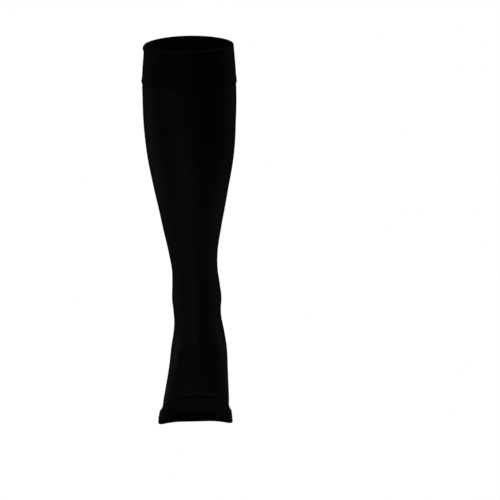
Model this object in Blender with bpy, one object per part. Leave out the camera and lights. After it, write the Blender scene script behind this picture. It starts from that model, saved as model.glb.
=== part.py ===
"""Compression stocking, knee high, with an open toe, filled out as it is worn.

Metres, +Z up the leg, -Y towards the toes, +X to the wearer's left side.
The origin is the centre of the top opening, where the calf holds the stocking up.

The stocking is one bent tube.  SECTIONS gives its outer shape where it changes, from the
rim down to the toe edge, and a smooth surface runs through those sections.  The pieces
(top band, leg, heel, foot, toe band) are cross-sections of cloth carried round that
surface: out on the right side of the cloth, round its end, and back on the inside.  Leg,
heel and foot are knitted in one and part only where the knitting of the heel starts, at
the ankle bones, and where it ends, under the arch.
"""

import math
from collections import namedtuple

import bpy
import numpy as np

MM = 0.001

# ---- driving sizes, in millimetres ------------------------------------------------
KNIT_WALL = 1.4         # single knitted cloth of leg, heel and foot
DOUBLE_WALL = 2.2       # cloth turned double in the top band and the toe band
BAND_PROUD = 0.4        # how far the top band stands out from the leg
TOE_BAND_PROUD = 1.4    # and the toe band from the foot
TOE_BAND_FULL = 0.8     # how much thicker the toe band is at its sides
BAND_LENGTH = 48.0      # rim to the band's lower edge
SEAM_GAP = 0.3          # between one piece and the next
HEM_LIFT = 0.5          # how far the band's lower edge, its stitched hem, lifts outward
HEM_LIFT_RUN = 12.0     # length over which it lifts
RIM_ROLL = 1.6          # how far the rim rolls outward at its slack side, -X
RIM_ROLL_AT = 3.8       # how far the middle of the roll lies below the rim
RIM_ROLL_WIDTH = 3.2
RIM_ROLL_INSIDE = 0.6   # share of the roll that the inside follows
RIM_DIP = 1.2           # the rim dips at its sides
RIM_SLACK_DIP = 0.6     # and further on its slack side than on the other
TOE_FLARE = 0.5         # how far the toe edge lifts outward
TOE_SEAM_LEAD = 10.5    # the toe seam runs this much further forward at its sides
TOE_EDGE_LEAD = 8.0     # and the toe edge this much
TOE_SLANT = 0.6         # both run this much further again towards +X, less towards -X
TOE_LEAD_RUN = 100.0    # length over which bow and slant fade out up the foot

AROUND = 48             # points round each ring
LEG_PITCH = 11.0        # greatest distance between rings, along the longer side
BAND_PITCH = 3.5
EDGE_STEPS = 4          # steps round each rounded edge of the cloth
FINE_STEPS = 400        # steps in which a run along the cloth is measured
SHARP_ANGLE = 50        # degrees; the cut ends of the cloth keep their corners

# ---- the sections, in millimetres -------------------------------------------------
# front and back are points of the profile seen from the side, width is across it and
# shift is where its middle lies.  belly is how far from front to back the widest line
# lies; front_form and back_form are 2 on an ellipse, less where the section is keener
# and more where it is squarer.
Section = namedtuple(
    "Section",
    "name front_y front_z back_y back_z width shift belly front_form back_form",
)
SECTIONS = (
    Section("rim",           -53,    0,   53,    0,  107,  0.0, 0.50, 2.00, 2.00),
    Section("band edge",     -55,  -48,   61,  -48,  115, -0.7, 0.50, 2.00, 2.00),
    Section("full calf",     -55,  -94,   67,  -94,  116, -1.0, 0.52, 2.00, 2.00),
    Section("lower calf",    -52, -140,   64, -140,  110, -1.0, 0.53, 2.00, 2.00),
    Section("calf taper",    -47, -188,   53, -188,   94, -1.0, 0.53, 2.00, 2.00),
    Section("tendon",        -41, -236,   41, -236,   76, -1.0, 0.52, 2.00, 2.00),
    Section("low shin",      -38, -270,   36, -269,   64, -0.5, 0.51, 2.00, 2.00),
    Section("ankle",         -37, -296,   36, -293,   60,  1.0, 0.50, 2.00, 2.00),
    Section("ankle bones",   -38, -324,   41, -312,   63,  2.5, 0.48, 2.00, 2.05),
    Section("front bend",    -41, -343,   54, -330,   66,  3.0, 0.46, 2.00, 2.10),
    Section("heel back",     -45, -358,   69, -349,   64,  3.0, 0.44, 1.95, 2.20),
    Section("heel turn",     -49, -370,   74, -375,   64,  4.0, 0.44, 1.95, 2.30),
    Section("under heel",    -53, -380,   55, -393,   68,  5.0, 0.46, 1.90, 2.40),
    Section("arch",          -59, -392,   19, -409,   74,  4.5, 0.50, 1.90, 2.40),
    Section("instep",        -67, -407,  -17, -431,   78,  3.0, 0.54, 1.90, 2.40),
    Section("fore foot",     -80, -426,  -46, -457,   84,  0.5, 0.56, 1.90, 2.40),
    Section("toe seam",      -89, -436,  -58, -469,   87, -1.0, 0.56, 1.95, 2.40),
    Section("toe edge",     -101, -449,  -73, -482,   91, -2.2, 0.56, 2.00, 2.40),
)

# ---- soft folds, in millimetres ---------------------------------------------------
# A fold is a shallow trough across the tube: where it lies along the section row
# (1.5 is half way from row 1 to row 2), where round the tube (0 front, 90 towards +X,
# 180 back), how deep, how wide along the leg and how far round it reaches, in degrees.
Fold = namedtuple("Fold", "row angle depth width reach")
FOLDS = (
    Fold(row=10.6, angle=-5, depth=1.1, width=8.0, reach=34),
    Fold(row=8.9, angle=6, depth=0.6, width=8.0, reach=30),
    Fold(row=7.5, angle=174, depth=0.8, width=7.0, reach=40),
    Fold(row=8.6, angle=186, depth=1.1, width=7.0, reach=46),
)

Colour = namedtuple("Colour", "name red green blue roughness")
LEG_KNIT = Colour("black_knit", 0.010, 0.010, 0.011, 0.72)
BAND_KNIT = Colour("black_band_knit", 0.008, 0.008, 0.009, 0.78)


# ---- the surface ------------------------------------------------------------------
COLUMNS = np.array([section[1:] for section in SECTIONS], dtype=float)


def row_distances():
    """Distance of each section from the rim, halfway between the front and back runs."""
    front = np.linalg.norm(np.diff(COLUMNS[:, 0:2], axis=0), axis=1)
    back = np.linalg.norm(np.diff(COLUMNS[:, 2:4], axis=0), axis=1)
    return np.concatenate([[0.0], np.cumsum((front + back) / 2)])


DISTANCE = row_distances()
HEEL_START, HEEL_END = DISTANCE[[8, 13]]
TOE_SEAM, TOE_END = DISTANCE[-2:]


def row_slopes():
    """Slope of every column at each section, for a smooth run from row to row."""
    step = np.diff(DISTANCE)[:, None]
    rise = np.diff(COLUMNS, axis=0) / step
    inner = (rise[:-1] * step[1:] + rise[1:] * step[:-1]) / (step[1:] + step[:-1])
    return np.vstack([rise[:1], inner, rise[-1:]])


SLOPES = row_slopes()


def columns_at(distance):
    """The section's columns at each distance from the rim, by Hermite curves."""
    distance = np.asarray(distance, dtype=float)
    row = np.clip(np.searchsorted(DISTANCE, distance, side="right") - 1, 0, len(SECTIONS) - 2)
    span = DISTANCE[row + 1] - DISTANCE[row]
    t = ((distance - DISTANCE[row]) / span)[..., None]
    span = span[..., None]
    start, end = COLUMNS[row], COLUMNS[row + 1]
    leave, arrive = SLOPES[row] * span, SLOPES[row + 1] * span
    return (
        (2 * t**3 - 3 * t**2 + 1) * start
        + (t**3 - 2 * t**2 + t) * leave
        + (3 * t**2 - 2 * t**3) * end
        + (t**3 - t**2) * arrive
    )


def course_shift(distance, angle):
    """How much further down than evenly the cloth lies at its sides, near rim and toe."""
    side = np.sin(angle)
    near_rim = np.clip(1 - distance / BAND_LENGTH, 0.0, 1.0)
    dip = RIM_DIP * side**2 - RIM_SLACK_DIP * side
    near_toe = np.clip(1 - (TOE_SEAM - distance) / TOE_LEAD_RUN, 0.0, 1.0)
    near_toe = near_toe**2 * (3 - 2 * near_toe)
    past_seam = np.clip((distance - TOE_SEAM) / (TOE_END - TOE_SEAM), 0.0, 1.0)
    lead = TOE_SEAM_LEAD + (TOE_EDGE_LEAD - TOE_SEAM_LEAD) * past_seam
    return dip * near_rim**2 + (lead * np.abs(side) ** 3 + TOE_SLANT * side) * near_toe


def bare_surface(distance, angle):
    """Points of the outer surface; angle is 0 at the front and grows towards +X."""
    place = distance + course_shift(distance, angle)
    past = np.maximum(place - TOE_END, 0.0)
    (front_y, front_z, back_y, back_z, width, shift, belly, front_form, back_form) = np.moveaxis(
        columns_at(place - past), -1, 0
    )
    side = np.sin(angle)
    ahead = np.cos(angle)
    form = np.where(ahead > 0, front_form, back_form)
    across = np.sign(side) * np.abs(side) ** (2 / form)
    along = np.sign(ahead) * np.abs(ahead) ** (2 / form)
    # 0 at the front point, belly at the widest line, 1 at the back point
    reach = np.where(ahead > 0, belly * (1 - along), belly - (1 - belly) * along)
    foot_y, foot_z = SLOPES[-1, 0:2] / np.linalg.norm(SLOPES[-1, 0:2])
    return np.stack(
        [
            shift + across * width / 2,
            front_y + reach * (back_y - front_y) + past * foot_y,
            front_z + reach * (back_z - front_z) + past * foot_z,
        ],
        axis=-1,
    )


def fold_depth(distance, angle):
    """How far the folds draw the cloth in."""
    depth = np.zeros(np.broadcast(distance, angle).shape)
    for fold in FOLDS:
        place = np.interp(fold.row, range(len(SECTIONS)), DISTANCE)
        turn = (angle - math.radians(fold.angle) + math.pi) % (2 * math.pi) - math.pi
        depth += (
            fold.depth
            * np.exp(-(((distance - place) / fold.width) ** 2))
            * np.exp(-((turn / math.radians(fold.reach)) ** 2))
        )
    return depth


def surface(distance, angle, out=0.0):
    """Points of the cloth, out millimetres from its right side."""
    step_along, step_round = 0.5, 0.01
    point = bare_surface(distance, angle)
    along = bare_surface(distance + step_along, angle) - bare_surface(distance - step_along, angle)
    across = bare_surface(distance, angle + step_round) - bare_surface(distance, angle - step_round)
    normal = np.cross(across, along)
    normal /= np.linalg.norm(normal, axis=-1, keepdims=True)
    return point - normal * (out - fold_depth(distance, angle))[..., None]


# ---- cross-sections of the cloth --------------------------------------------------
def stations(start, end, pitch):
    """Distances from start to end, no ring further from the next than the pitch."""
    fine = np.linspace(start, end, FINE_STEPS)
    columns = columns_at(fine)
    front = np.linalg.norm(np.diff(columns[:, 0:2], axis=0), axis=1)
    back = np.linalg.norm(np.diff(columns[:, 2:4], axis=0), axis=1)
    run = np.concatenate([[0.0], np.cumsum(np.maximum(front, back))])
    count = math.ceil(run[-1] / pitch)
    return np.interp(np.linspace(0, run[-1], count + 1), run, fine)


def rounded_edge(at, first, last, towards):
    """Half a circle from one face of the cloth to the other; towards is 1 down the leg."""
    middle, radius = (first + last) / 2, (first - last) / 2
    for step in range(1, EDGE_STEPS):
        turn = math.pi * step / EDGE_STEPS
        yield at + towards * np.abs(radius) * math.sin(turn), middle + radius * math.cos(turn)


def swell(distance, at, width):
    """1 at one distance from the rim, fading softly to 0 over the width."""
    return np.exp(-(((distance - at) / width) ** 2))


ANGLES = np.linspace(0, 2 * math.pi, AROUND, endpoint=False)


def ring(distance, out):
    """One closed ring of points, in metres, at a distance down the stocking."""
    return surface(distance + np.zeros(AROUND), ANGLES, out) * MM


def cloth_loop(rows, outside, inside, rim_edge=False, toe_edge=False):
    """Rings down the right side of the cloth and back up its inside.

    outside and inside give the cloth's two faces at a distance, for every angle.
    """
    rings = [ring(at, outside(at)) for at in rows]
    if toe_edge:
        at = rows[-1]
        rings += [ring(*step) for step in rounded_edge(at, outside(at), inside(at), 1)]
    rings += [ring(at, inside(at)) for at in rows[::-1]]
    if rim_edge:
        at = rows[0]
        rings += [ring(*step) for step in rounded_edge(at, inside(at), outside(at), -1)]
    return rings


# ---- the pieces -------------------------------------------------------------------
def even_face(out):
    """A face of the cloth that keeps one distance from the surface all round."""
    return lambda distance: np.full(AROUND, float(out))


def top_band():
    """The doubled band that grips below the knee, with its rolled rim and lifted hem."""
    slack_side = np.clip(-np.sin(ANGLES), 0, 1) ** 2

    def roll(distance):
        return RIM_ROLL * slack_side * swell(distance, RIM_ROLL_AT, RIM_ROLL_WIDTH)

    def outside(distance):
        near_hem = max(1 - (BAND_LENGTH - distance) / HEM_LIFT_RUN, 0.0)
        return BAND_PROUD + roll(distance) + HEM_LIFT * near_hem**2

    def inside(distance):
        return BAND_PROUD - DOUBLE_WALL + RIM_ROLL_INSIDE * roll(distance)

    rows = stations(DOUBLE_WALL / 2, BAND_LENGTH, BAND_PITCH)
    return cloth_loop(rows, outside, inside, rim_edge=True)


def leg():
    """The knitted tube of calf, shin and ankle."""
    rows = stations(BAND_LENGTH + SEAM_GAP, HEEL_START, LEG_PITCH)
    return cloth_loop(rows, even_face(0), even_face(-KNIT_WALL))


def heel():
    """The knitted tube round heel and ankle joint, which bends forward from the leg."""
    rows = stations(HEEL_START + SEAM_GAP, HEEL_END, LEG_PITCH)
    return cloth_loop(rows, even_face(0), even_face(-KNIT_WALL))


def foot():
    """The knitted tube from the instep to the toe seam."""
    rows = stations(HEEL_END + SEAM_GAP, TOE_SEAM - SEAM_GAP, LEG_PITCH)
    return cloth_loop(rows, even_face(0), even_face(-KNIT_WALL))


def toe_band():
    """The doubled band round the open toe, its edge lifting a little."""

    def lift(distance):
        return TOE_FLARE * ((distance - TOE_SEAM) / (TOE_END - TOE_SEAM)) ** 2

    def outside(distance):
        return TOE_BAND_PROUD + lift(distance) + TOE_BAND_FULL * np.sin(ANGLES) ** 2

    def inside(distance):
        return np.full(AROUND, TOE_BAND_PROUD + lift(distance) - DOUBLE_WALL)

    rows = stations(TOE_SEAM, TOE_END - DOUBLE_WALL / 2, BAND_PITCH)
    return cloth_loop(rows, outside, inside, toe_edge=True)


# ---- building ---------------------------------------------------------------------
def fabric(colour):
    material = bpy.data.materials.new(colour.name)
    material.use_nodes = True
    shader = material.node_tree.nodes["Principled BSDF"]
    shader.inputs["Base Color"].default_value = (colour.red, colour.green, colour.blue, 1)
    shader.inputs["Roughness"].default_value = colour.roughness
    shader.inputs["Metallic"].default_value = 0.0
    material.diffuse_color = (colour.red, colour.green, colour.blue, 1)
    return material


def add_tube(name, rings, colour, parent):
    """One object from rings that run round the leg and close on themselves."""
    rings = np.array(rings)
    middle = rings[0].mean(axis=0)
    count = len(rings)
    faces = []
    for row in range(count):
        below = (row + 1) % count
        for point in range(AROUND):
            beside = (point + 1) % AROUND
            faces.append(
                (
                    row * AROUND + point,
                    below * AROUND + point,
                    below * AROUND + beside,
                    row * AROUND + beside,
                )
            )
    mesh = bpy.data.meshes.new(name)
    mesh.from_pydata((rings - middle).reshape(-1, 3).tolist(), [], faces)
    mesh.shade_smooth()
    mesh.set_sharp_from_angle(angle=math.radians(SHARP_ANGLE))
    mesh.materials.append(fabric(colour))
    piece = bpy.data.objects.new(name, mesh)
    piece.location = middle.tolist()
    piece.parent = parent
    bpy.context.scene.collection.objects.link(piece)
    return piece


def build():
    for old in list(bpy.data.objects):
        bpy.data.objects.remove(old, do_unlink=True)
    stocking = bpy.data.objects.new("stocking", None)
    bpy.context.scene.collection.objects.link(stocking)
    add_tube("top_band", top_band(), BAND_KNIT, stocking)
    add_tube("leg", leg(), LEG_KNIT, stocking)
    add_tube("heel", heel(), LEG_KNIT, stocking)
    add_tube("foot", foot(), LEG_KNIT, stocking)
    add_tube("toe_band", toe_band(), BAND_KNIT, stocking)


build()
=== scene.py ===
"""Compression stocking, knee high with an open toe: its cloth, its sewing and its finish.

The frame holds the stocking's solids.  Here they get finer shells of knitted cloth on the
same surface, one for the top band, one for leg and foot, one for the toe band, with the
creases of a filled-out stocking and the stitches that hold its two bands.

The tables are in millimetres and degrees, and MM turns millimetres into metres.  The
studio at the end is in metres, and the power of its lights in watts.
"""

import math
from collections import namedtuple

import bpy
import numpy as np
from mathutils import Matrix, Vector


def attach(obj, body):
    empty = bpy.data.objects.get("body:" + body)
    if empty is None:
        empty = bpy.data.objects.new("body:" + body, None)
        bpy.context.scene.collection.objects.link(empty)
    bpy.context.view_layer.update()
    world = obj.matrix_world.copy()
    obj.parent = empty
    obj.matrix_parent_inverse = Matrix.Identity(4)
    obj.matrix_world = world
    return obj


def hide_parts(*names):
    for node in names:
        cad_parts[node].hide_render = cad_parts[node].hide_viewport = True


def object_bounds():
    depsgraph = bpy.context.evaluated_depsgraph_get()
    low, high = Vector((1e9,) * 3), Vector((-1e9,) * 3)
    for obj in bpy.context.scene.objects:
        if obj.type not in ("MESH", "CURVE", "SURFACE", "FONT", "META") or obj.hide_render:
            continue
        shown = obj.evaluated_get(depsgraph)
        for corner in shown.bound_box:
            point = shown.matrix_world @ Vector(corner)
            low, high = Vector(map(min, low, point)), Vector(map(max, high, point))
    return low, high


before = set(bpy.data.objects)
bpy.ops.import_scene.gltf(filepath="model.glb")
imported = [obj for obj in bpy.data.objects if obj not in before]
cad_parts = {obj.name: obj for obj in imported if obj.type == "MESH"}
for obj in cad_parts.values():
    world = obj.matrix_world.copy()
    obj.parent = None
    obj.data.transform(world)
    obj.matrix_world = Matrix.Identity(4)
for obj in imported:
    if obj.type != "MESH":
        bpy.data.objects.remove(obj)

cad_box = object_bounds()

MM = 0.001

# ---- cloth, in millimetres: the frame's own sizes ----------------------------------
KNIT_WALL = 1.4         # single knitted cloth of leg, heel and foot
DOUBLE_WALL = 2.2       # cloth turned double in the top band and the toe band
BAND_PROUD = 0.4        # how far the top band stands out from the leg
TOE_BAND_PROUD = 1.4    # and the toe band from the foot
TOE_BAND_FULL = 0.8     # how much thicker the toe band is at its sides
BAND_LENGTH = 48.0      # rim to the band's lower edge
HEM_LIFT = 0.5          # how far the band's lower edge, its stitched hem, lifts outward
HEM_LIFT_RUN = 12.0     # length over which it lifts
RIM_ROLL = 1.6          # how far the rim rolls outward at its slack side, -X
RIM_ROLL_AT = 3.8       # how far the middle of the roll lies below the rim
RIM_ROLL_WIDTH = 3.2    # and how far up and down it fades out
RIM_ROLL_INSIDE = 0.6   # share of the roll that the inside follows
RIM_DIP = 1.2           # the rim dips at its sides
RIM_SLACK_DIP = 0.6     # and further on its slack side than on the other
TOE_FLARE = 0.5         # how far the toe edge lifts outward
TOE_SEAM_LEAD = 10.5    # the toe seam runs this much further forward at its sides
TOE_EDGE_LEAD = 8.0     # and the toe edge this much
TOE_SLANT = 0.6         # both run this much further again towards +X, less towards -X
TOE_LEAD_RUN = 100.0    # length over which bow and slant fade out up the foot

# A section is one row across the tube: where its front and its back point lie, how wide
# it is, how far it is shifted towards +X, and where its widest line lies on the way from
# front to back.  The forms of its front and back half are 2 on an ellipse, less where it
# is keener and more where it is squarer.
Section = namedtuple(
    "Section",
    "name front_y front_z back_y back_z width shift belly front_form back_form",
)
SECTIONS = (
    Section("rim",           -53,    0,   53,    0,  107,  0.0, 0.50, 2.00, 2.00),
    Section("band edge",     -55,  -48,   61,  -48,  115, -0.7, 0.50, 2.00, 2.00),
    Section("full calf",     -55,  -94,   67,  -94,  116, -1.0, 0.52, 2.00, 2.00),
    Section("lower calf",    -52, -140,   64, -140,  110, -1.0, 0.53, 2.00, 2.00),
    Section("calf taper",    -47, -188,   53, -188,   94, -1.0, 0.53, 2.00, 2.00),
    Section("tendon",        -41, -236,   41, -236,   76, -1.0, 0.52, 2.00, 2.00),
    Section("low shin",      -38, -270,   36, -269,   64, -0.5, 0.51, 2.00, 2.00),
    Section("ankle",         -37, -296,   36, -293,   60,  1.0, 0.50, 2.00, 2.00),
    Section("ankle bones",   -38, -324,   41, -312,   63,  2.5, 0.48, 2.00, 2.05),
    Section("front bend",    -41, -343,   54, -330,   66,  3.0, 0.46, 2.00, 2.10),
    Section("heel back",     -45, -358,   69, -349,   64,  3.0, 0.44, 1.95, 2.20),
    Section("heel turn",     -49, -370,   74, -375,   64,  4.0, 0.44, 1.95, 2.30),
    Section("under heel",    -53, -380,   55, -393,   68,  5.0, 0.46, 1.90, 2.40),
    Section("arch",          -59, -392,   19, -409,   74,  4.5, 0.50, 1.90, 2.40),
    Section("instep",        -67, -407,  -17, -431,   78,  3.0, 0.54, 1.90, 2.40),
    Section("fore foot",     -80, -426,  -46, -457,   84,  0.5, 0.56, 1.90, 2.40),
    Section("toe seam",      -89, -436,  -58, -469,   87, -1.0, 0.56, 1.95, 2.40),
    Section("toe edge",     -101, -449,  -73, -482,   91, -2.2, 0.56, 2.00, 2.40),
)

# ---- creases -----------------------------------------------------------------------
# A crease crosses the tube.  It lies along the section row (1.5 is half way from row 1
# to row 2) and round the tube (0 front, 90 towards +X, 180 back), so deep and so wide
# along the leg, reaching so many degrees each way; lean is how far down the leg it runs
# from its middle to the end towards +X.  A depth below 0 makes a ridge.
Crease = namedtuple("Crease", "row angle depth width reach lean")
CREASES = (
    # bends at the front of the ankle, above the instep
    Crease(row=10.6, angle=-5, depth=1.3, width=7.0, reach=34, lean=2.0),
    Crease(row=8.9, angle=6, depth=0.7, width=6.5, reach=30, lean=-2.0),
    Crease(row=9.8, angle=-2, depth=-0.4, width=4.5, reach=24, lean=1.0),
    Crease(row=11.7, angle=9, depth=0.35, width=5.0, reach=22, lean=-3.0),
    # where the foot's cloth is drawn in above the toe seam
    Crease(row=15.5, angle=24, depth=0.6, width=6.0, reach=20, lean=2.0),
    Crease(row=15.6, angle=-40, depth=0.4, width=5.0, reach=18, lean=-2.0),
    # behind the ankle, over the tendon and above the heel
    Crease(row=7.5, angle=174, depth=0.9, width=6.0, reach=40, lean=3.0),
    Crease(row=8.6, angle=186, depth=1.2, width=6.5, reach=46, lean=-2.5),
    Crease(row=8.1, angle=180, depth=-0.4, width=4.0, reach=30, lean=1.0),
    Crease(row=9.3, angle=171, depth=0.5, width=4.5, reach=26, lean=2.0),
)
# The gore line of the knitted heel is such a furrow too, narrow, on both its sides.
GORE_ROW = 10.4
GORE_SIDE, GORE_BACK = 94, 142              # degrees from the front where it starts and ends
GORE_MIDDLE = (GORE_SIDE + GORE_BACK) / 2
CREASES += tuple(
    Crease(row=GORE_ROW, angle=angle, depth=0.35, width=1.9, reach=21, lean=0.0)
    for angle in (-GORE_MIDDLE, GORE_MIDDLE)
)
# A run goes down the tube instead, between two rows, and turns from one angle to another.
Run = namedtuple("Run", "first last angle_first angle_last depth width")
RUNS = (
    # beside the shin, on both its sides, where calf and bone meet
    Run(first=2.6, last=7.2, angle_first=-37, angle_last=-38, depth=0.7, width=9),
    Run(first=1.5, last=6.2, angle_first=40, angle_last=31, depth=0.5, width=12),
    # beside the tendon
    Run(first=5.2, last=10.4, angle_first=137, angle_last=126, depth=0.8, width=15),
    Run(first=5.0, last=10.2, angle_first=-139, angle_last=-124, depth=0.8, width=14),
    # down the top of the foot, on both sides of its ridge
    Run(first=9.2, last=15.2, angle_first=-24, angle_last=-23, depth=0.9, width=9),
    Run(first=8.4, last=14.8, angle_first=22, angle_last=24, depth=1.0, width=11),
)

# A wave is a broad unevenness, as a limb has, which is no perfect turned form: so long
# down the leg, so many times round it, turned on by its phase, and so high.
Wave = namedtuple("Wave", "length turns phase height")
WAVES = (
    Wave(length=131, turns=2, phase=0.4, height=0.16),
    Wave(length=74, turns=3, phase=2.1, height=0.10),
    Wave(length=46, turns=5, phase=4.0, height=0.05),
)

# ---- seams -------------------------------------------------------------------------
# The knitted tube runs on a little inside both bands, which are sewn down on it.
BAND_LAP = 4.0          # how far it runs on inside the top band
TOE_LAP = 2.5           # and how far past the toe seam, where the toe band covers its end
LAP_GAP = 0.05          # between the two layers there
TOE_FALL = 0.7          # how far the foot draws in softly towards the toe seam
TOE_FALL_RUN = 15.0     # length over which it does
TOE_TUCK = 2.6, 1.0     # from here to here above the seam it is then tucked in
TOE_BAND_LOW = 1.6      # how far below the seam the toe band's edge starts
# A rib runs all round the leg: so far below the top band or above the toe seam, so high
# and so wide.  Below the band lie the courses where the knit changes; above the toe band
# the cloth swells over the seam's turned edge.
Rib = namedtuple("Rib", "away height width")
BAND_RIBS = (
    Rib(away=6.4, height=0.13, width=0.8),
    Rib(away=9.0, height=0.16, width=0.8),
    Rib(away=12.2, height=0.10, width=0.8),
)
TOE_RIBS = (Rib(away=3.4, height=0.45, width=1.1),)
RIB_RUN = 20.0          # length of the tube at each end that has finer rings
LAP_RUN = 7.0           # and on its inside

# ---- knit and mesh -----------------------------------------------------------------
WALES = 384             # columns of stitches round the leg, the same from rim to toe
COURSE = 0.72           # height of one row of stitches
AROUND = 192            # points round each ring
LEG_PITCH = 1.9         # between rings on the right side
SEAM_PITCH = 0.6        # beside the bands
INSIDE_PITCH = 4.5      # and on the inside
BAND_PITCH = 0.9        # between rings of both bands
EDGE_STEPS = 8          # steps round a fold or a sewn edge
SEWN_EDGE = 0.4         # how far a sewn edge rounds out, where a fold rounds half its wall
FINE_STEPS = 800        # steps in which a run along the cloth is measured
GIRTH_STEPS = 40        # places at which a piece's widest girth is looked for

# ---- sewing ------------------------------------------------------------------------
THREAD = 0.45           # thickness of the sewing thread
THREAD_SIDES = 6        # flat sides round the thread
THREAD_CUT = 0.35       # its thickness follows a half turn, cut off so far from its ends,
THREAD_TAPER = 0.35     # to this power, so the ends keep 0.7 of it
STITCH_POINTS = 6       # points along a stitch
STITCH_RISE = 0.22      # how far the middle of a stitch stands out of the cloth
STITCH_DIVE = 0.4       # and how deep its ends go in
STITCH_ARC = STITCH_RISE - (STITCH_RISE + STITCH_DIVE) * np.linspace(-1, 1, STITCH_POINTS) ** 4
HEM_ROWS = 1.8, 5.4     # the top band's rows of straight stitches, above its lower edge
HEM_STITCH = 2.4        # length of such a stitch
HEM_GAP = 0.7           # and the way to the next
TOE_STITCH = 1.6        # length along the leg of a slanting stitch on the toe seam's rib
TOE_STITCH_PITCH = 1.5  # from one such stitch to the next
TOE_STITCH_SLANT = 0.5  # how far round it leans, as a share of that
TOE_STITCH_OUT = 0.4    # how far out of the foot's own face it lies

# ---- stretch on the leg, worn size over knitted size --------------------------------
STRETCH_ROUND = 1.35
STRETCH_ALONG = 1.04

# ---- the surface -------------------------------------------------------------------
COLUMNS = np.array([section[1:] for section in SECTIONS], dtype=float)
ROWS = np.arange(len(SECTIONS))
TURN = 2 * math.pi


def steps_along(columns):
    """Lengths from each row to the next, down the front and down the back."""
    front = np.linalg.norm(np.diff(columns[:, 0:2], axis=0), axis=1)
    back = np.linalg.norm(np.diff(columns[:, 2:4], axis=0), axis=1)
    return front, back


def row_distances():
    """Distance of each section from the rim, halfway between the front and back runs."""
    front, back = steps_along(COLUMNS)
    return np.concatenate([[0.0], np.cumsum((front + back) / 2)])


DISTANCE = row_distances()
TOE_SEAM, TOE_END = DISTANCE[-2:]
TUCK_START, TUCK_END = TOE_SEAM - TOE_TUCK[0], TOE_SEAM - TOE_TUCK[1]
GORE_AT = np.interp(GORE_ROW, ROWS, DISTANCE)


def row_slopes():
    """Slope of every column at each section, for a smooth run from row to row."""
    step = np.diff(DISTANCE)[:, None]
    rise = np.diff(COLUMNS, axis=0) / step
    inner = (rise[:-1] * step[1:] + rise[1:] * step[:-1]) / (step[1:] + step[:-1])
    return np.vstack([rise[:1], inner, rise[-1:]])


SLOPES = row_slopes()


def columns_at(distance):
    """The sections' columns at each distance from the rim, by Hermite curves."""
    distance = np.asarray(distance, dtype=float)
    row = np.clip(np.searchsorted(DISTANCE, distance, side="right") - 1, 0, len(SECTIONS) - 2)
    span = DISTANCE[row + 1] - DISTANCE[row]
    t = ((distance - DISTANCE[row]) / span)[..., None]
    span = span[..., None]
    start, end = COLUMNS[row], COLUMNS[row + 1]
    leave, arrive = SLOPES[row] * span, SLOPES[row + 1] * span
    return (
        (2 * t**3 - 3 * t**2 + 1) * start
        + (t**3 - 2 * t**2 + t) * leave
        + (3 * t**2 - 2 * t**3) * end
        + (t**3 - t**2) * arrive
    )


def swell(distance, at, width):
    """1 at one distance from the rim, fading softly to 0 over the width."""
    return np.exp(-(((distance - at) / width) ** 2))


def ease(distance, start, end):
    """0 before the start and 1 after the end, with a soft passage between."""
    share = np.clip((distance - start) / (end - start), 0.0, 1.0)
    return share**2 * (3 - 2 * share)


def course_shift(distance, angle):
    """How much further down than evenly the cloth lies at its sides, near rim and toe."""
    side = np.sin(angle)
    near_rim = np.clip(1 - distance / BAND_LENGTH, 0.0, 1.0)
    dip = RIM_DIP * side**2 - RIM_SLACK_DIP * side
    near_toe = ease(distance, TOE_SEAM - TOE_LEAD_RUN, TOE_SEAM)
    past_seam = np.clip((distance - TOE_SEAM) / (TOE_END - TOE_SEAM), 0.0, 1.0)
    lead = TOE_SEAM_LEAD + (TOE_EDGE_LEAD - TOE_SEAM_LEAD) * past_seam
    return dip * near_rim**2 + (lead * np.abs(side) ** 3 + TOE_SLANT * side) * near_toe


def bare_surface(distance, angle):
    """Points of the outer surface; angle is 0 at the front and grows towards +X."""
    place = distance + course_shift(distance, angle)
    past = np.maximum(place - TOE_END, 0.0)
    columns = np.moveaxis(columns_at(place - past), -1, 0)
    front_y, front_z, back_y, back_z, width, shift, belly, front_form, back_form = columns
    side = np.sin(angle)
    ahead = np.cos(angle)
    form = np.where(ahead > 0, front_form, back_form)
    across = np.sign(side) * np.abs(side) ** (2 / form)
    along = np.sign(ahead) * np.abs(ahead) ** (2 / form)
    # 0 at the front point, belly at the widest line, 1 at the back point
    reach = np.where(ahead > 0, belly * (1 - along), belly - (1 - belly) * along)
    foot_y, foot_z = SLOPES[-1, 0:2] / np.linalg.norm(SLOPES[-1, 0:2])
    return np.stack(
        [
            shift + across * width / 2,
            front_y + reach * (back_y - front_y) + past * foot_y,
            front_z + reach * (back_z - front_z) + past * foot_z,
        ],
        axis=-1,
    )


def turned(angle, middle):
    """Angle from the middle, given in degrees, to each point, from -pi to pi."""
    return (angle - np.radians(middle) + math.pi) % TURN - math.pi


def crease_depth(distance, angle):
    """How far creases, runs and waves draw the cloth in."""
    depth = np.zeros(np.broadcast(distance, angle).shape)
    for crease in CREASES:
        turn = turned(angle, crease.angle) / math.radians(crease.reach)
        place = np.interp(crease.row, ROWS, DISTANCE) + crease.lean * turn
        depth += crease.depth * np.exp(-(((distance - place) / crease.width) ** 2) - turn**2)
    for run in RUNS:
        row = np.interp(distance, DISTANCE, ROWS)
        along = (row - run.first) / (run.last - run.first)
        middle = run.angle_first + (run.angle_last - run.angle_first) * along
        turn = turned(angle, middle) / math.radians(run.width)
        fade = np.sin(math.pi * np.clip(along, 0.0, 1.0)) ** 2
        depth += run.depth * fade * np.exp(-(turn**2))
    for wave in WAVES:
        along = np.sin(TURN * distance / wave.length + wave.phase)
        depth += wave.height * along * np.cos(wave.turns * angle + 2 * wave.phase)
    return depth


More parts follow.
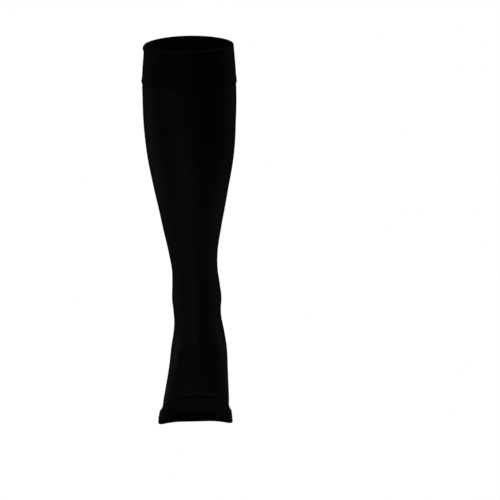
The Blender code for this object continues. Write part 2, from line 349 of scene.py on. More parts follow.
def outward(distance, angle):
    """Directions straight out of the right side of the cloth."""
    # a small way to either side, in millimetres down the leg and in radians round it
    step_along, step_round = 0.5, 0.01
    along = bare_surface(distance + step_along, angle) - bare_surface(distance - step_along, angle)
    across = bare_surface(distance, angle + step_round) - bare_surface(distance, angle - step_round)
    direction = np.cross(along, across)
    return direction / np.linalg.norm(direction, axis=-1, keepdims=True)


def surface(distance, angle, out=0.0):
    """Points of the cloth, out millimetres from its right side."""
    depth = crease_depth(distance, angle)
    return bare_surface(distance, angle) + outward(distance, angle) * (out - depth)[..., None]


# ---- rings of cloth ----------------------------------------------------------------
ANGLES = np.linspace(0, TURN, AROUND, endpoint=False)
Ring = namedtuple("Ring", "points distance inner")


def stations(start, end, pitch):
    """Distances from start to end, no ring further from the next than the pitch."""
    fine = np.linspace(start, end, FINE_STEPS)
    front, back = steps_along(columns_at(fine))
    run = np.concatenate([[0.0], np.cumsum(np.maximum(front, back))])
    count = math.ceil(run[-1] / pitch)
    return np.interp(np.linspace(0, run[-1], count + 1), run, fine)


def rounded_edge(at, first, last, reach):
    """An edge from one face of the cloth to the other; its reach is below 0 up the leg."""
    middle, half = (first + last) / 2, (first - last) / 2
    for step in range(1, EDGE_STEPS):
        turn = math.pi * step / EDGE_STEPS
        yield at + reach * math.sin(turn), middle + half * math.cos(turn)


def ring(distance, out, inner=False):
    """One closed ring of points, in metres, at a distance down the stocking."""
    distance = distance + np.zeros(AROUND)
    return Ring(surface(distance, ANGLES, out) * MM, distance, inner)


def cloth_loop(rows, inner_rows, outside, inside, upper_edge, lower_edge):
    """Rings down the right side of the cloth, round its lower edge, back up its inside
    and round its upper edge.  The edges reach so far past the first and the last row.
    """
    rings = [ring(at, outside(at)) for at in rows]
    at = rows[-1]
    rings += [ring(*step) for step in rounded_edge(at, outside(at), inside(at), lower_edge)]
    rings += [ring(at, inside(at), inner=True) for at in inner_rows[::-1]]
    at = rows[0]
    rings += [ring(*step) for step in rounded_edge(at, inside(at), outside(at), -upper_edge)]
    return rings


def band_face(distance):
    """Right side of the top band, which lifts towards its hem."""
    near_hem = max(1 - (BAND_LENGTH - distance) / HEM_LIFT_RUN, 0.0)
    return BAND_PROUD + HEM_LIFT * near_hem**2


def foot_face(distance):
    """Right side of the foot, which draws in softly towards the toe seam."""
    return -TOE_FALL * ease(distance, TUCK_START - TOE_FALL_RUN, TUCK_START)


def top_band_rings():
    """The doubled band below the knee, with its rolled rim and its hem over the leg."""
    slack_side = np.clip(-np.sin(ANGLES), 0, 1) ** 2

    def roll(distance):
        return RIM_ROLL * slack_side * swell(distance, RIM_ROLL_AT, RIM_ROLL_WIDTH)

    def outside(distance):
        return band_face(distance) + roll(distance)

    def inside(distance):
        lap = ease(distance, BAND_LENGTH - BAND_LAP, BAND_LENGTH)
        face = (BAND_PROUD - DOUBLE_WALL) * (1 - lap) + LAP_GAP * lap
        return face + RIM_ROLL_INSIDE * roll(distance)

    rows = stations(DOUBLE_WALL / 2, BAND_LENGTH - SEWN_EDGE, BAND_PITCH)
    return cloth_loop(rows, rows, outside, inside, DOUBLE_WALL / 2, SEWN_EDGE)


def tube_rows(start, end, edge_run, pitch):
    """Distances of the tube's rings, close together beside its ends and wider between."""
    near, far = start + edge_run, end - edge_run
    spans = (start, near, SEAM_PITCH), (near, far, pitch), (far, end, SEAM_PITCH)
    return np.append(np.concatenate([stations(*span)[:-1] for span in spans]), end)


def leg_rings():
    """The one knitted tube of calf, ankle, heel and foot, with the ribs beside its bands."""
    start, end = BAND_LENGTH - BAND_LAP, TOE_SEAM + TOE_LAP
    under_band = BAND_PROUD - DOUBLE_WALL - LAP_GAP
    under_toe_band = TOE_BAND_PROUD - DOUBLE_WALL - LAP_GAP

    def outside(distance):
        out = under_band * (1 - ease(distance, start, BAND_LENGTH))
        out += foot_face(distance)
        out += (under_toe_band + TOE_FALL) * ease(distance, TUCK_START, TUCK_END)
        for rib in BAND_RIBS:
            out += rib.height * swell(distance, BAND_LENGTH + rib.away, rib.width)
        for rib in TOE_RIBS:
            out += rib.height * swell(distance, TOE_SEAM - rib.away, rib.width)
        return np.full(AROUND, out)

    def inside(distance):
        return outside(distance) - KNIT_WALL

    rows = tube_rows(start, end, RIB_RUN, LEG_PITCH)
    inner_rows = tube_rows(start, end, LAP_RUN, INSIDE_PITCH)
    return cloth_loop(rows, inner_rows, outside, inside, SEWN_EDGE, SEWN_EDGE)


def toe_band_rings():
    """The doubled band round the open toe, its edge lifting a little."""

    def lift(distance):
        return TOE_FLARE * ((distance - TOE_SEAM) / (TOE_END - TOE_SEAM)) ** 2

    def outside(distance):
        return TOE_BAND_PROUD + lift(distance) + TOE_BAND_FULL * np.sin(ANGLES) ** 2

    def inside(distance):
        return np.full(AROUND, TOE_BAND_PROUD + lift(distance) - DOUBLE_WALL)

    start = TOE_SEAM + TOE_BAND_LOW + SEWN_EDGE
    rows = stations(start, TOE_END - DOUBLE_WALL / 2, BAND_PITCH)
    return cloth_loop(rows, rows, outside, inside, SEWN_EDGE, DOUBLE_WALL / 2)


# ---- pieces ------------------------------------------------------------------------
def add_piece(name, points, faces, material, slot):
    """A smooth mesh piece that rides with the stocking."""
    mesh = bpy.data.meshes.new(name)
    mesh.from_pydata(np.asarray(points).tolist(), [], faces)
    mesh.shade_smooth()
    mesh.materials.append(material)
    piece = bpy.data.objects.new(name, mesh)
    bpy.context.scene.collection.objects.link(piece)
    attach(piece, "root")
    return piece


def quad_rows(count, around, closed):
    """Faces between rings of points, each ring to the one below it."""
    for row in range(count if closed else count - 1):
        below = (row + 1) % count
        for point in range(around):
            beside = (point + 1) % around
            yield (
                row * around + point,
                below * around + point,
                below * around + beside,
                row * around + beside,
            )


def add_cloth(name, rings, material, reverse, slot, nodes):
    """A shell of cloth, from rings that close on themselves, in place of its solids.

    Its map counts the cloth's own way: 0 to 1 round the leg, and 0 at the rim to 1 at
    the toe edge.  The reverse is the material of its inner face.
    """
    points = np.concatenate([each.points for each in rings])
    faces = list(quad_rows(len(rings), AROUND, closed=True))
    piece = add_piece(name, points, faces, material, slot)
    piece.data.materials.append(reverse)
    inner = np.repeat([int(each.inner) for each in rings], AROUND)
    piece.data.polygons.foreach_set("material_index", inner)
    down = np.array([each.distance[0] for each in rings]) / TOE_END
    below = np.roll(down, -1)
    left = np.arange(AROUND) / AROUND
    right = left + 1 / AROUND
    corners = np.empty((len(rings), AROUND, 4, 2))
    corners[..., 0:2, 0] = left[None, :, None]
    corners[..., 2:4, 0] = right[None, :, None]
    corners[..., 0, 1] = corners[..., 3, 1] = down[:, None]
    corners[..., 1, 1] = corners[..., 2, 1] = below[:, None]
    cloth_map = piece.data.uv_layers.new(name="cloth")
    cloth_map.uv.foreach_set("vector", corners.astype(np.float32).ravel())
    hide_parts(*nodes)
    return piece


def thread_tube(line, lift):
    """Points and faces of a thread along a line of points; lift points out of the cloth."""
    count = len(line)
    ahead = np.gradient(line, axis=0)
    ahead /= np.linalg.norm(ahead, axis=1, keepdims=True)
    side = np.cross(ahead, lift)
    side /= np.linalg.norm(side, axis=1, keepdims=True)
    up = np.cross(side, ahead)
    turn = np.linspace(0, TURN, THREAD_SIDES, endpoint=False)[None, :, None]
    round_it = np.cos(turn) * side[:, None] + np.sin(turn) * up[:, None]
    half_turn = np.linspace(THREAD_CUT, math.pi - THREAD_CUT, count)
    radius = THREAD / 2 * np.sin(half_turn) ** THREAD_TAPER
    points = line[:, None] + radius[:, None, None] * round_it
    faces = [face[::-1] for face in quad_rows(count, THREAD_SIDES, closed=False)]
    faces.append(tuple(range(THREAD_SIDES)))
    faces.append(tuple(range((count - 1) * THREAD_SIDES, count * THREAD_SIDES))[::-1])
    return points.reshape(-1, 3), faces


def add_sewing(name, stitches, material, slot):
    """Many stitches, each a line of places on the cloth, as one mesh of threads."""
    points, faces, count = [], [], 0
    for distance, angle, out in stitches:
        more, its_faces = thread_tube(surface(distance, angle, out), outward(distance, angle))
        points.append(more)
        faces += [tuple(count + corner for corner in face) for face in its_faces]
        count += len(more)
    return add_piece(name, np.concatenate(points) * MM, faces, material, slot)


def girth(distance):
    """Length round the stocking at a distance from the rim."""
    points = surface(distance + np.zeros(AROUND), ANGLES)
    return np.linalg.norm(points - np.roll(points, 1, axis=0), axis=1).sum()


def hem_stitches():
    """Rows of straight stitches along the hem of the top band.

    Each comes up out of the cloth, runs on and dives in.
    """
    share = HEM_STITCH / (HEM_STITCH + HEM_GAP)
    for above in HEM_ROWS:
        at = BAND_LENGTH - above
        count = round(girth(at) / (HEM_STITCH + HEM_GAP))
        for each in range(count):
            angle = (each + share * np.linspace(0, 1, STITCH_POINTS)) / count * TURN
            yield at + np.zeros(STITCH_POINTS), angle, band_face(at) + STITCH_ARC


def toe_seam_stitches():
    """A row of slanting stitches on the rib above the toe seam, which is overlocked."""
    at = TOE_SEAM - TOE_RIBS[0].away
    face = foot_face(at) + TOE_STITCH_OUT
    count = round(girth(at) / TOE_STITCH_PITCH)
    along = np.linspace(-0.5, 0.5, STITCH_POINTS)
    for each in range(count):
        angle = (each + TOE_STITCH_SLANT * along) / count * TURN
        yield at + TOE_STITCH * along, angle, face + STITCH_ARC


# ---- materials ---------------------------------------------------------------------
# dark and light are the yarn's tones, worn its tone along edges; smooth and rough are
# the limits of its roughness; relief is the height of the stitches in millimetres, sheen
# the glow of its fine fuzz, and gloss how strongly it mirrors light, 0.5 for a common
# plastic.
Finish = namedtuple("Finish", "name dark light worn smooth rough relief sheen gloss")
LEG_FINISH = Finish(
    "leg_knit", dark=0.0035, light=0.0075, worn=0.011,
    smooth=0.36, rough=0.48, relief=0.06, sheen=0.04, gloss=0.50,
)
LEG_REVERSE = Finish(
    "leg_knit_reverse", dark=0.003, light=0.0065, worn=0.009,
    smooth=0.50, rough=0.62, relief=0.08, sheen=0.03, gloss=0.40,
)
BAND_FINISH = Finish(
    "band_knit", dark=0.0028, light=0.0060, worn=0.012,
    smooth=0.38, rough=0.50, relief=0.06, sheen=0.02, gloss=0.36,
)
# The band's inner face is lighter than its right side: partly a matter reverse knit, partly painted
# light that lifts the shaded inside seen through the opening.
BAND_REVERSE = Finish(
    "band_knit_reverse", dark=0.014, light=0.034, worn=0.030,
    smooth=0.55, rough=0.70, relief=0.08, sheen=0.06, gloss=0.40,
)
THREAD_TONES = 0.004, 0.009         # darkest and lightest
THREAD_ROUGHNESS = 0.38, 0.50       # where it is darkest and lightest
THREAD_GLOSS = 0.50
BLUE = 1.08             # blue of the black yarn, over its red and green
SHEEN_ROUGHNESS = 0.45

# the stitches
STITCH_SLANT = 0.8      # how far the two legs of a stitch slant, in courses
STITCH_INLAY = 0.35     # how much the elastic yarn in every second course draws it in
STITCH_WAVE = 0.65      # share of its height that comes and goes down the wale
YARN_SHOWS = 0.05, 0.6  # heights where the yarn starts to show, and shows in full
GAP_TONE = 0.4          # tone of the gaps between the yarns, as a share of the yarn's
KNIT_BUMP = 0.8         # strength of the stitches' relief

# A grain is a soft random pattern, with so many patches to a metre and so much detail.
# The bars are counted on the cloth's map instead: 3 round the leg and 260 down it.
Grain = namedtuple("Grain", "patches detail")
BARS = Grain(patches=1.0, detail=3.0)
BAR_STRETCH = (3.0, 260.0, 1.0)
CLOUDS = Grain(patches=22.0, detail=4.0)
WEAR_PATCHES = Grain(patches=160.0, detail=3.0)
THREAD_TWIST = Grain(patches=900.0, detail=2.0)
BAR_TONE = 0.6          # how strongly the bars change the yarn's tone
CLOUD_TONE = 0.5        # and the clouds
TONE_RANGE = 0.2, 0.8   # tones over which the roughness runs from limit to limit

# wear beside the edges, in millimetres where nothing else is said
EDGE_REACH = 1.6        # how far it reaches from an edge
WEAR_FULL = 0.2         # share of that reach in which it is full
PATCH_RANGE = 0.3, 0.7  # values of its grain between which it grows
WEAR_LEAST = 0.35       # least of it between the patches

# the gore line of the heel
GORE_LINE = 0.2, 0.9    # distances from its middle where it starts to fade, and ends
GORE_FADE = 0.02        # share of a turn in which it fades at its ends
GORE_HOLE_WALES = 3     # wales from one of its small holes to the next
GORE_HOLE_DEPTH = 0.4   # share of its depth that comes and goes with them
GORE_RELIEF = 2.5       # its depth in the relief, in heights of a stitch

# the furrow of the toe seam, with painted shade: a darker colour where the cloth is tucked in
SEAM_REACH = 2.4        # how far it reaches up the foot
FURROW_FULL = 0.5       # share of that reach in which it is full, up and down the cloth
FURROW_END = 0.65       # share at which it ends below the seam, at the toe band's edge
SEAM_PAINTED_SHADE = 0.001       # its tone
FURROW_ROUGH = 0.95     # and its roughness


def new_group(name, inputs, outputs):
    """A shader node group with named sockets; gives it, its inputs and its outputs."""
    group = bpy.data.node_groups.new(name, "ShaderNodeTree")
    for label, kind, value in inputs:
        socket = group.interface.new_socket(label, in_out="INPUT", socket_type=kind)
        if value is not None:
            socket.default_value = value
    for label, kind in outputs:
        group.interface.new_socket(label, in_out="OUTPUT", socket_type=kind)
    enter = group.nodes.new("NodeGroupInput")
    leave = group.nodes.new("NodeGroupOutput")
    return group, enter.outputs, leave.inputs


def connect(tree, value, socket):
    """Links a socket to another, or sets its number."""
    if isinstance(value, (int, float)):
        socket.default_value = value
    else:
        tree.links.new(value, socket)


def maths(tree, operation, *values):
    """The result of one sum of a Math node, from sockets or numbers."""
    node = tree.nodes.new("ShaderNodeMath")
    node.operation = operation
    for value, socket in zip(values, node.inputs):
        connect(tree, value, socket)
    return node.outputs[0]


def remap(tree, value, low, high, new_low, new_high):
    """A value softly brought from one range to another, and held at its ends."""
    node = tree.nodes.new("ShaderNodeMapRange")
    node.interpolation_type = "SMOOTHSTEP"
    for number, socket in zip((value, low, high, new_low, new_high), node.inputs):
        connect(tree, number, socket)
    return node.outputs[0]


def grain_on(tree, place, grain):
    """Soft random values from 0 to 1, at each place."""
    node = tree.nodes.new("ShaderNodeTexNoise")
    node.inputs["Scale"].default_value = grain.patches
    node.inputs["Detail"].default_value = grain.detail
    tree.links.new(place, node.inputs["Vector"])
    return node.outputs[0]


def own_place(tree):
    """Where a point lies in its own piece, in metres."""
    return tree.nodes.new("ShaderNodeTexCoord").outputs["Object"]


def cloth_place(group, enter):
    """The two numbers of the cloth's map: how far round the leg, and how far down it."""
    split = group.nodes.new("ShaderNodeSeparateXYZ")
    group.links.new(enter["Cloth Map"], split.inputs[0])
    return split.outputs["X"], split.outputs["Y"]


def way_past(group, down, at):
    """Millimetres from a distance down the cloth to a point, below 0 further up."""
    return maths(group, "MULTIPLY", maths(group, "SUBTRACT", down, at / TOE_END), TOE_END)


def knit_group():
    """Columns of small V-shaped stitches, from the cloth's own map."""
    group, enter, leave = new_group(
        "knit_stitches",
        [
            ("Cloth Map", "NodeSocketVector", None),
            ("Wales", "NodeSocketFloat", float(WALES)),
            ("Courses", "NodeSocketFloat", TOE_END / COURSE),
            ("Slant", "NodeSocketFloat", STITCH_SLANT),
            ("Inlay", "NodeSocketFloat", STITCH_INLAY),
        ],
        [("Height", "NodeSocketFloat"), ("Yarn", "NodeSocketFloat")],
    )
    across, down = cloth_place(group, enter)
    wale = maths(group, "FRACT", maths(group, "MULTIPLY", across, enter["Wales"]))
    # distance from the middle of the wale, 0 to 1 at its edges
    aside = maths(group, "ABSOLUTE", maths(group, "MULTIPLY_ADD", wale, 2.0, -1.0))
    course = maths(group, "MULTIPLY", down, enter["Courses"])
    slanted = maths(group, "ADD", course, maths(group, "MULTIPLY", aside, enter["Slant"]))
    wave = maths(group, "COSINE", maths(group, "MULTIPLY", slanted, TURN))
    wave = maths(group, "MULTIPLY_ADD", wave, 0.5, 0.5)
    # each of the two legs of a stitch is highest half way between middle and edge
    leg = maths(group, "ABSOLUTE", maths(group, "MULTIPLY_ADD", aside, 2.0, -1.0))
    leg = maths(group, "SUBTRACT", 1.0, maths(group, "POWER", leg, 2.0))
    wave = maths(group, "MULTIPLY_ADD", wave, STITCH_WAVE, 1 - STITCH_WAVE)
    height = maths(group, "MULTIPLY", leg, wave)
    # the elastic yarn laid into every second course draws it in
    drawn = maths(group, "COSINE", maths(group, "MULTIPLY", course, math.pi))
    drawn = maths(group, "MULTIPLY", maths(group, "MULTIPLY_ADD", drawn, 0.5, 0.5), enter["Inlay"])
    height = maths(group, "MULTIPLY", height, maths(group, "SUBTRACT", 1.0, drawn))
    group.links.new(height, leave["Height"])
    group.links.new(remap(group, height, *YARN_SHOWS, 0.0, 1.0), leave["Yarn"])
    return group


def tone_group():
    """Soft uneven tone: bars along the courses from uneven yarn, and broad cloudiness."""
    group, enter, leave = new_group(
        "knit_tone",
        [
            ("Cloth Map", "NodeSocketVector", None),
            ("Bars", "NodeSocketFloat", BAR_TONE),
            ("Clouds", "NodeSocketFloat", CLOUD_TONE),
        ],
        [("Tone", "NodeSocketFloat")],
    )
    stretch = group.nodes.new("ShaderNodeMapping")
    stretch.inputs["Scale"].default_value = BAR_STRETCH
    group.links.new(enter["Cloth Map"], stretch.inputs["Vector"])
    bars = grain_on(group, stretch.outputs[0], BARS)
    clouds = grain_on(group, own_place(group), CLOUDS)
    # each of them moves the tone up and down from the middle
    tone = 0.5
    for grain, strength in ((bars, enter["Bars"]), (clouds, enter["Clouds"])):
        part = maths(group, "MULTIPLY", maths(group, "SUBTRACT", grain, 0.5), strength)
        tone = maths(group, "ADD", part, tone)
    group.links.new(tone, leave["Tone"])
    return group


def wear_group():
    """Wear beside the edges: the rim, the band's hem and the toe edge."""
    group, enter, leave = new_group(
        "edge_wear",
        [("Cloth Map", "NodeSocketVector", None), ("Reach", "NodeSocketFloat", EDGE_REACH)],
        [("Worn", "NodeSocketFloat")],
    )
    down = cloth_place(group, enter)[1]
    nearest = TOE_END
    for edge in (0.0, BAND_LENGTH, TOE_END):
        away = maths(group, "ABSOLUTE", way_past(group, down, edge))
        nearest = maths(group, "MINIMUM", away, nearest)
    away = maths(group, "DIVIDE", nearest, enter["Reach"])
    beside = remap(group, away, WEAR_FULL, 1.0, 1.0, 0.0)
    patches = grain_on(group, own_place(group), WEAR_PATCHES)
    patchy = remap(group, patches, *PATCH_RANGE, WEAR_LEAST, 1.0)
    group.links.new(maths(group, "MULTIPLY", beside, patchy), leave["Worn"])
    return group


def gore_group():
    """The gore line of a knitted heel, on both its sides: a thin furrow with small holes."""
    group, enter, leave = new_group(
        "heel_gore",
        [("Cloth Map", "NodeSocketVector", None)],
        [("Furrow", "NodeSocketFloat")],
    )
    across, down = cloth_place(group, enter)
    # 0 at the back of the leg, 0.5 at its front
    from_back = maths(group, "ABSOLUTE", maths(group, "SUBTRACT", across, 0.5))
    first, last = 0.5 - GORE_BACK / 360, 0.5 - GORE_SIDE / 360
    starts = remap(group, from_back, first, first + GORE_FADE, 0.0, 1.0)
    ends = remap(group, from_back, last - GORE_FADE, last, 1.0, 0.0)
    away = maths(group, "ABSOLUTE", way_past(group, down, GORE_AT))
    line = remap(group, away, *GORE_LINE, 1.0, 0.0)
    holes = maths(group, "MULTIPLY", across, WALES / GORE_HOLE_WALES * TURN)
    holes = maths(group, "COSINE", holes)
    holes = maths(group, "MULTIPLY_ADD", holes, GORE_HOLE_DEPTH, 1 - GORE_HOLE_DEPTH)
    reach = maths(group, "MULTIPLY", starts, ends)
    furrow = maths(group, "MULTIPLY", maths(group, "MULTIPLY", line, holes), reach)
    group.links.new(furrow, leave["Furrow"])
    return group


def seam_group():
    """Painted shade in the furrow of the toe seam, where the cloth is tucked in: a mask that darkens
    the colour there and makes the yarn rougher.
    """
    group, enter, leave = new_group(
        "seam_painted_shade",
        [("Cloth Map", "NodeSocketVector", None), ("Reach", "NodeSocketFloat", SEAM_REACH)],
        [("Shade", "NodeSocketFloat")],
    )
    down = cloth_place(group, enter)[1]
    past = maths(group, "DIVIDE", way_past(group, down, TOE_SEAM), enter["Reach"])
    # it fades out up the foot, and ends where the clean fold of the toe band starts
    above = remap(group, past, -1.0, -FURROW_FULL, 0.0, 1.0)
    below = remap(group, past, FURROW_FULL, FURROW_END, 1.0, 0.0)
    group.links.new(maths(group, "MULTIPLY", above, below), leave["Shade"])
    return group


KNIT = knit_group()
TONE = tone_group()
WEAR = wear_group()
GORE = gore_group()
SEAM = seam_group()


def group_node(tree, group, cloth_map):
    """One of the groups above, placed in a material."""
    node = tree.nodes.new("ShaderNodeGroup")
    node.node_tree = group
    tree.links.new(cloth_map, node.inputs["Cloth Map"])
    return node


def black(tone):
    """The yarn's colour at a tone: nearly neutral, a trace blue."""
    return (tone, tone, tone * BLUE, 1.0)


def mixed(tree, share, first, second):
    """A colour between two, by a share from 0 to 1."""
    node = tree.nodes.new("ShaderNodeMix")
    node.data_type = "RGBA"
    tree.links.new(share, node.inputs["Factor"])
    for value, socket in ((first, node.inputs["A"]), (second, node.inputs["B"])):
        if isinstance(value, tuple):
            socket.default_value = value
        else:
            tree.links.new(value, socket)
    return node.outputs["Result"]


def new_material(name):
    """A material with its node tree and its Principled shader."""
    material = bpy.data.materials.new(name)
    material.use_nodes = True
    return material, material.node_tree, material.node_tree.nodes["Principled BSDF"]


def add_relief(tree, shader, height, relief):
    """Raises the surface to the eye by a height, which counts in so many millimetres."""
    bump = tree.nodes.new("ShaderNodeBump")
    bump.inputs["Strength"].default_value = KNIT_BUMP
    bump.inputs["Distance"].default_value = relief * MM
    tree.links.new(height, bump.inputs["Height"])
    tree.links.new(bump.outputs[0], shader.inputs["Normal"])


def knitted(finish, slant=STITCH_SLANT, inlay=STITCH_INLAY, gore=False):
    """Black knitted cloth: yarn on dark gaps, with soft gloss along the stitches."""
    material, tree, shader = new_material(finish.name)
    map_node = tree.nodes.new("ShaderNodeUVMap")
    map_node.uv_map = "cloth"
    cloth_map = map_node.outputs[0]
    knit = group_node(tree, KNIT, cloth_map)
    knit.inputs["Slant"].default_value = slant
    knit.inputs["Inlay"].default_value = inlay
    tone = group_node(tree, TONE, cloth_map).outputs["Tone"]
    worn = group_node(tree, WEAR, cloth_map).outputs["Worn"]
    # mask of the painted shade in the toe seam's furrow, which also roughens the yarn there
    seam = group_node(tree, SEAM, cloth_map).outputs["Shade"]

    yarn = maths(tree, "MULTIPLY_ADD", knit.outputs["Yarn"], 1 - GAP_TONE, GAP_TONE)
    height = knit.outputs["Height"]
    if gore:
        furrow = group_node(tree, GORE, cloth_map).outputs["Furrow"]
        yarn = maths(tree, "MULTIPLY", yarn, maths(tree, "SUBTRACT", 1.0, furrow))
        height = maths(tree, "SUBTRACT", height, maths(tree, "MULTIPLY", furrow, GORE_RELIEF))
    add_relief(tree, shader, height, finish.relief)

    colour = mixed(tree, maths(tree, "MULTIPLY", tone, yarn), black(finish.dark), black(finish.light))
    colour = mixed(tree, worn, colour, black(finish.worn))
    # painted shade: the toe seam's furrow darkened nearly to black
    colour = mixed(tree, seam, colour, black(SEAM_PAINTED_SHADE))
    tree.links.new(colour, shader.inputs["Base Color"])
    roughness = remap(tree, tone, *TONE_RANGE, finish.rough, finish.smooth)
    roughness = maths(tree, "MAXIMUM", roughness, maths(tree, "MULTIPLY", seam, FURROW_ROUGH))
    tree.links.new(roughness, shader.inputs["Roughness"])
    shader.inputs["Specular IOR Level"].default_value = finish.gloss
    shader.inputs["Sheen Weight"].default_value = finish.sheen
    shader.inputs["Sheen Roughness"].default_value = SHEEN_ROUGHNESS
    return material


def sewing_thread():
    """Plain sewing thread, uneven in tone and gloss by its twist."""
    material, tree, shader = new_material("sewing_thread")
    twist = grain_on(tree, own_place(tree), THREAD_TWIST)
    dark, light = THREAD_TONES
    colour = mixed(tree, twist, black(dark), black(light))
    tree.links.new(colour, shader.inputs["Base Color"])
    roughness = remap(tree, twist, *TONE_RANGE, *THREAD_ROUGHNESS)
    tree.links.new(roughness, shader.inputs["Roughness"])
    shader.inputs["Specular IOR Level"].default_value = THREAD_GLOSS
    return material


# ---- the stocking ------------------------------------------------------------------
def area_of(piece):
    """Area of one side of a closed shell of cloth, in square metres."""
    return sum(face.area for face in piece.data.polygons) / 2


def declare_cloth(piece, start, end):
    """Works out the widest girth and the knitted area of a tube, before the leg stretched it; neither
    is kept or used.
    """
    widest = max(girth(at) for at in np.linspace(start, end, GIRTH_STEPS))
    knitted_area = area_of(piece) / (STRETCH_ROUND * STRETCH_ALONG)


def build_stocking():
    """The three pieces of cloth, and the stitches that hold the two bands."""
    # a reverse face shows level courses, and a doubled band less of its elastic yarn
    leg_knit = knitted(LEG_FINISH, gore=True)
    leg_reverse = knitted(LEG_REVERSE, slant=0.0, inlay=0.5)
    band_knit = knitted(BAND_FINISH, inlay=0.1)
    # the band's inner face, lighter in part as painted light on the shaded inside
    band_reverse = knitted(BAND_REVERSE, slant=0.0, inlay=0.3)
    thread = sewing_thread()

    band_look = band_knit, band_reverse, "band_knit"
    leg_look = leg_knit, leg_reverse, "leg_knit"
    band = add_cloth("top_band_cloth", top_band_rings(), *band_look, ["top_band"])
    leg = add_cloth("leg_cloth", leg_rings(), *leg_look, ["leg", "heel", "foot"])
    toe = add_cloth("toe_band_cloth", toe_band_rings(), *band_look, ["toe_band"])
    band_sewing = add_sewing("band_cover_stitch", hem_stitches(), thread, "band_knit")
    toe_sewing = add_sewing("toe_seam_stitch", toe_seam_stitches(), thread, "leg_knit")

    declare_cloth(band, 0.0, BAND_LENGTH)
    declare_cloth(leg, BAND_LENGTH, TOE_SEAM)
    declare_cloth(toe, TOE_SEAM, TOE_END)


# ---- studio ------------------------------------------------------------------------
EYE = (0.0, -1.253, 0.2265)
EYE_PITCH = 21.6        # degrees below level
EYE_YAW = 3.37          # degrees towards +X
LENS = 74.3             # length of the lens, and width of the sensor, in millimetres
SENSOR = 36.0
NEAREST = 0.05          # nothing nearer to the camera shows
FLOOR_BELOW = 0.02      # the stocking hangs this far clear of the floor
FLOOR_SIDE = 30.0       # length of each of its sides
WHITE = (1.0, 1.0, 1.0, 1.0)

# A bank is a soft light that aims at the middle of the leg.  Its azimuth is 0 in front,
# at -Y, and 90 on the side of +X; its distance is level, and its height is over that
# middle; then come its own width and height, and its power.
Bank = namedtuple("Bank", "name azimuth distance height width tall power")
BANKS = (
    Bank("floor_bounce",      0, 0.01, -0.255,  1.0, 1.0,  0.12),
    Bank("front_bounce",    -20, 0.45, -0.255,  0.5, 0.4, 0.065),
    Bank("front_strip",     -26,  1.6,    0.0, 0.25, 1.1, 0.135),
    Bank("side_strip",      -42,  1.6,    0.0, 0.25, 1.1, 0.126),
    Bank("far_strip",       -62,  1.6,    0.0, 0.25, 1.1, 0.126),
    Bank("left_strip",     -122,  1.3,   0.05,  0.4, 1.5,  0.17),
    Bank("right_strip",     122,  1.3,   0.05,  0.4, 1.5,  0.16),
    Bank("foot_light",      -30,  0.6,    1.2,  0.4, 0.4,  0.14),
    Bank("foot_fill",        70,  0.6,    1.2,  0.3, 0.3,   0.5),
    Bank("left_kicker",    -110, 0.45,  -0.25,  0.3, 0.3, 0.016),
    Bank("calf_kicker",    -118, 0.75,  -0.22,  0.3, 0.3, 0.022),
    Bank("right_kicker",    110, 0.45,  -0.25,  0.3, 0.3,  0.02),
    Bank("opening_light",   -60,  0.5,    1.0,  0.3, 0.3,  0.15),
    Bank("back_strip",      172,  1.6,   0.05,  0.5, 1.4,   0.5),
)
ROOM_FILL = 0.018       # strength of the light from all round
FLOOR_FILL = 0.004      # and of the light that the floor gives off


def add_camera():
    """The camera, in front of the leg and above it."""
    camera = bpy.data.objects.new("camera", bpy.data.cameras.new("camera"))
    camera.location = EYE
    camera.rotation_euler = (math.radians(90 - EYE_PITCH), 0.0, -math.radians(EYE_YAW))
    camera.data.sensor_width = SENSOR
    camera.data.lens = LENS
    camera.data.clip_start = NEAREST
    bpy.context.scene.collection.objects.link(camera)
    bpy.context.scene.camera = camera


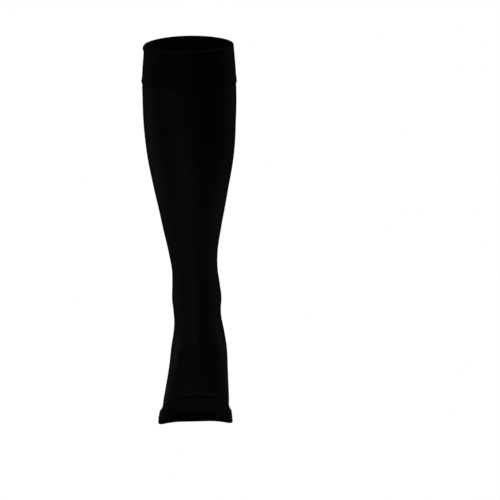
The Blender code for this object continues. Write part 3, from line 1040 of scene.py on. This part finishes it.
def add_bank(bank):
    """One soft light, seen by the cloth and not by the camera."""
    light = bpy.data.lights.new(bank.name, "AREA")
    light.shape = "RECTANGLE"
    light.size, light.size_y = bank.width, bank.tall
    light.energy = bank.power
    turn = math.radians(bank.azimuth)
    aim = (cad_box[0] + cad_box[1]) / 2
    way = Vector((math.sin(turn) * bank.distance, -math.cos(turn) * bank.distance, bank.height))
    lamp = bpy.data.objects.new(bank.name, light)
    lamp.location = aim + way
    lamp.rotation_euler = (-way).to_track_quat("-Z", "Y").to_euler()
    lamp.visible_camera = False
    bpy.context.scene.collection.objects.link(lamp)


def show_white(tree, light_kind, output_kind, power):
    """White to the camera, and an even light of so little power to the cloth."""
    tree.nodes.clear()
    path = tree.nodes.new("ShaderNodeLightPath")
    mix = tree.nodes.new("ShaderNodeMixShader")
    output = tree.nodes.new(output_kind)
    tree.links.new(path.outputs["Is Camera Ray"], mix.inputs[0])
    for socket, strength in ((mix.inputs[1], power), (mix.inputs[2], 1.0)):
        light = tree.nodes.new(light_kind)
        light.inputs["Color"].default_value = WHITE
        light.inputs["Strength"].default_value = strength
        tree.links.new(light.outputs[0], socket)
    tree.links.new(mix.outputs[0], output.inputs["Surface"])


def add_room():
    """A white room all round."""
    room = bpy.data.worlds.new("studio")
    room.use_nodes = True
    show_white(room.node_tree, "ShaderNodeBackground", "ShaderNodeOutputWorld", ROOM_FILL)
    bpy.context.scene.world = room


def add_floor():
    """A plain pale floor, a little below the toes."""
    pale = bpy.data.materials.new("pale_floor")
    pale.use_nodes = True
    show_white(pale.node_tree, "ShaderNodeEmission", "ShaderNodeOutputMaterial", FLOOR_FILL)
    half = FLOOR_SIDE / 2
    level = cad_box[0][2] - FLOOR_BELOW
    corners = [(-half, -half, level), (half, -half, level), (half, half, level), (-half, half, level)]
    mesh = bpy.data.meshes.new("floor")
    mesh.from_pydata(corners, [], [(0, 1, 2, 3)])
    mesh.materials.append(pale)
    floor = bpy.data.objects.new("floor", mesh)
    bpy.context.scene.collection.objects.link(floor)


def add_studio():
    """Room, floor and lights, with colours shown as they are."""
    add_room()
    add_floor()
    for bank in BANKS:
        add_bank(bank)
    bpy.context.scene.view_settings.view_transform = "Standard"


add_camera()
build_stocking()
add_studio()
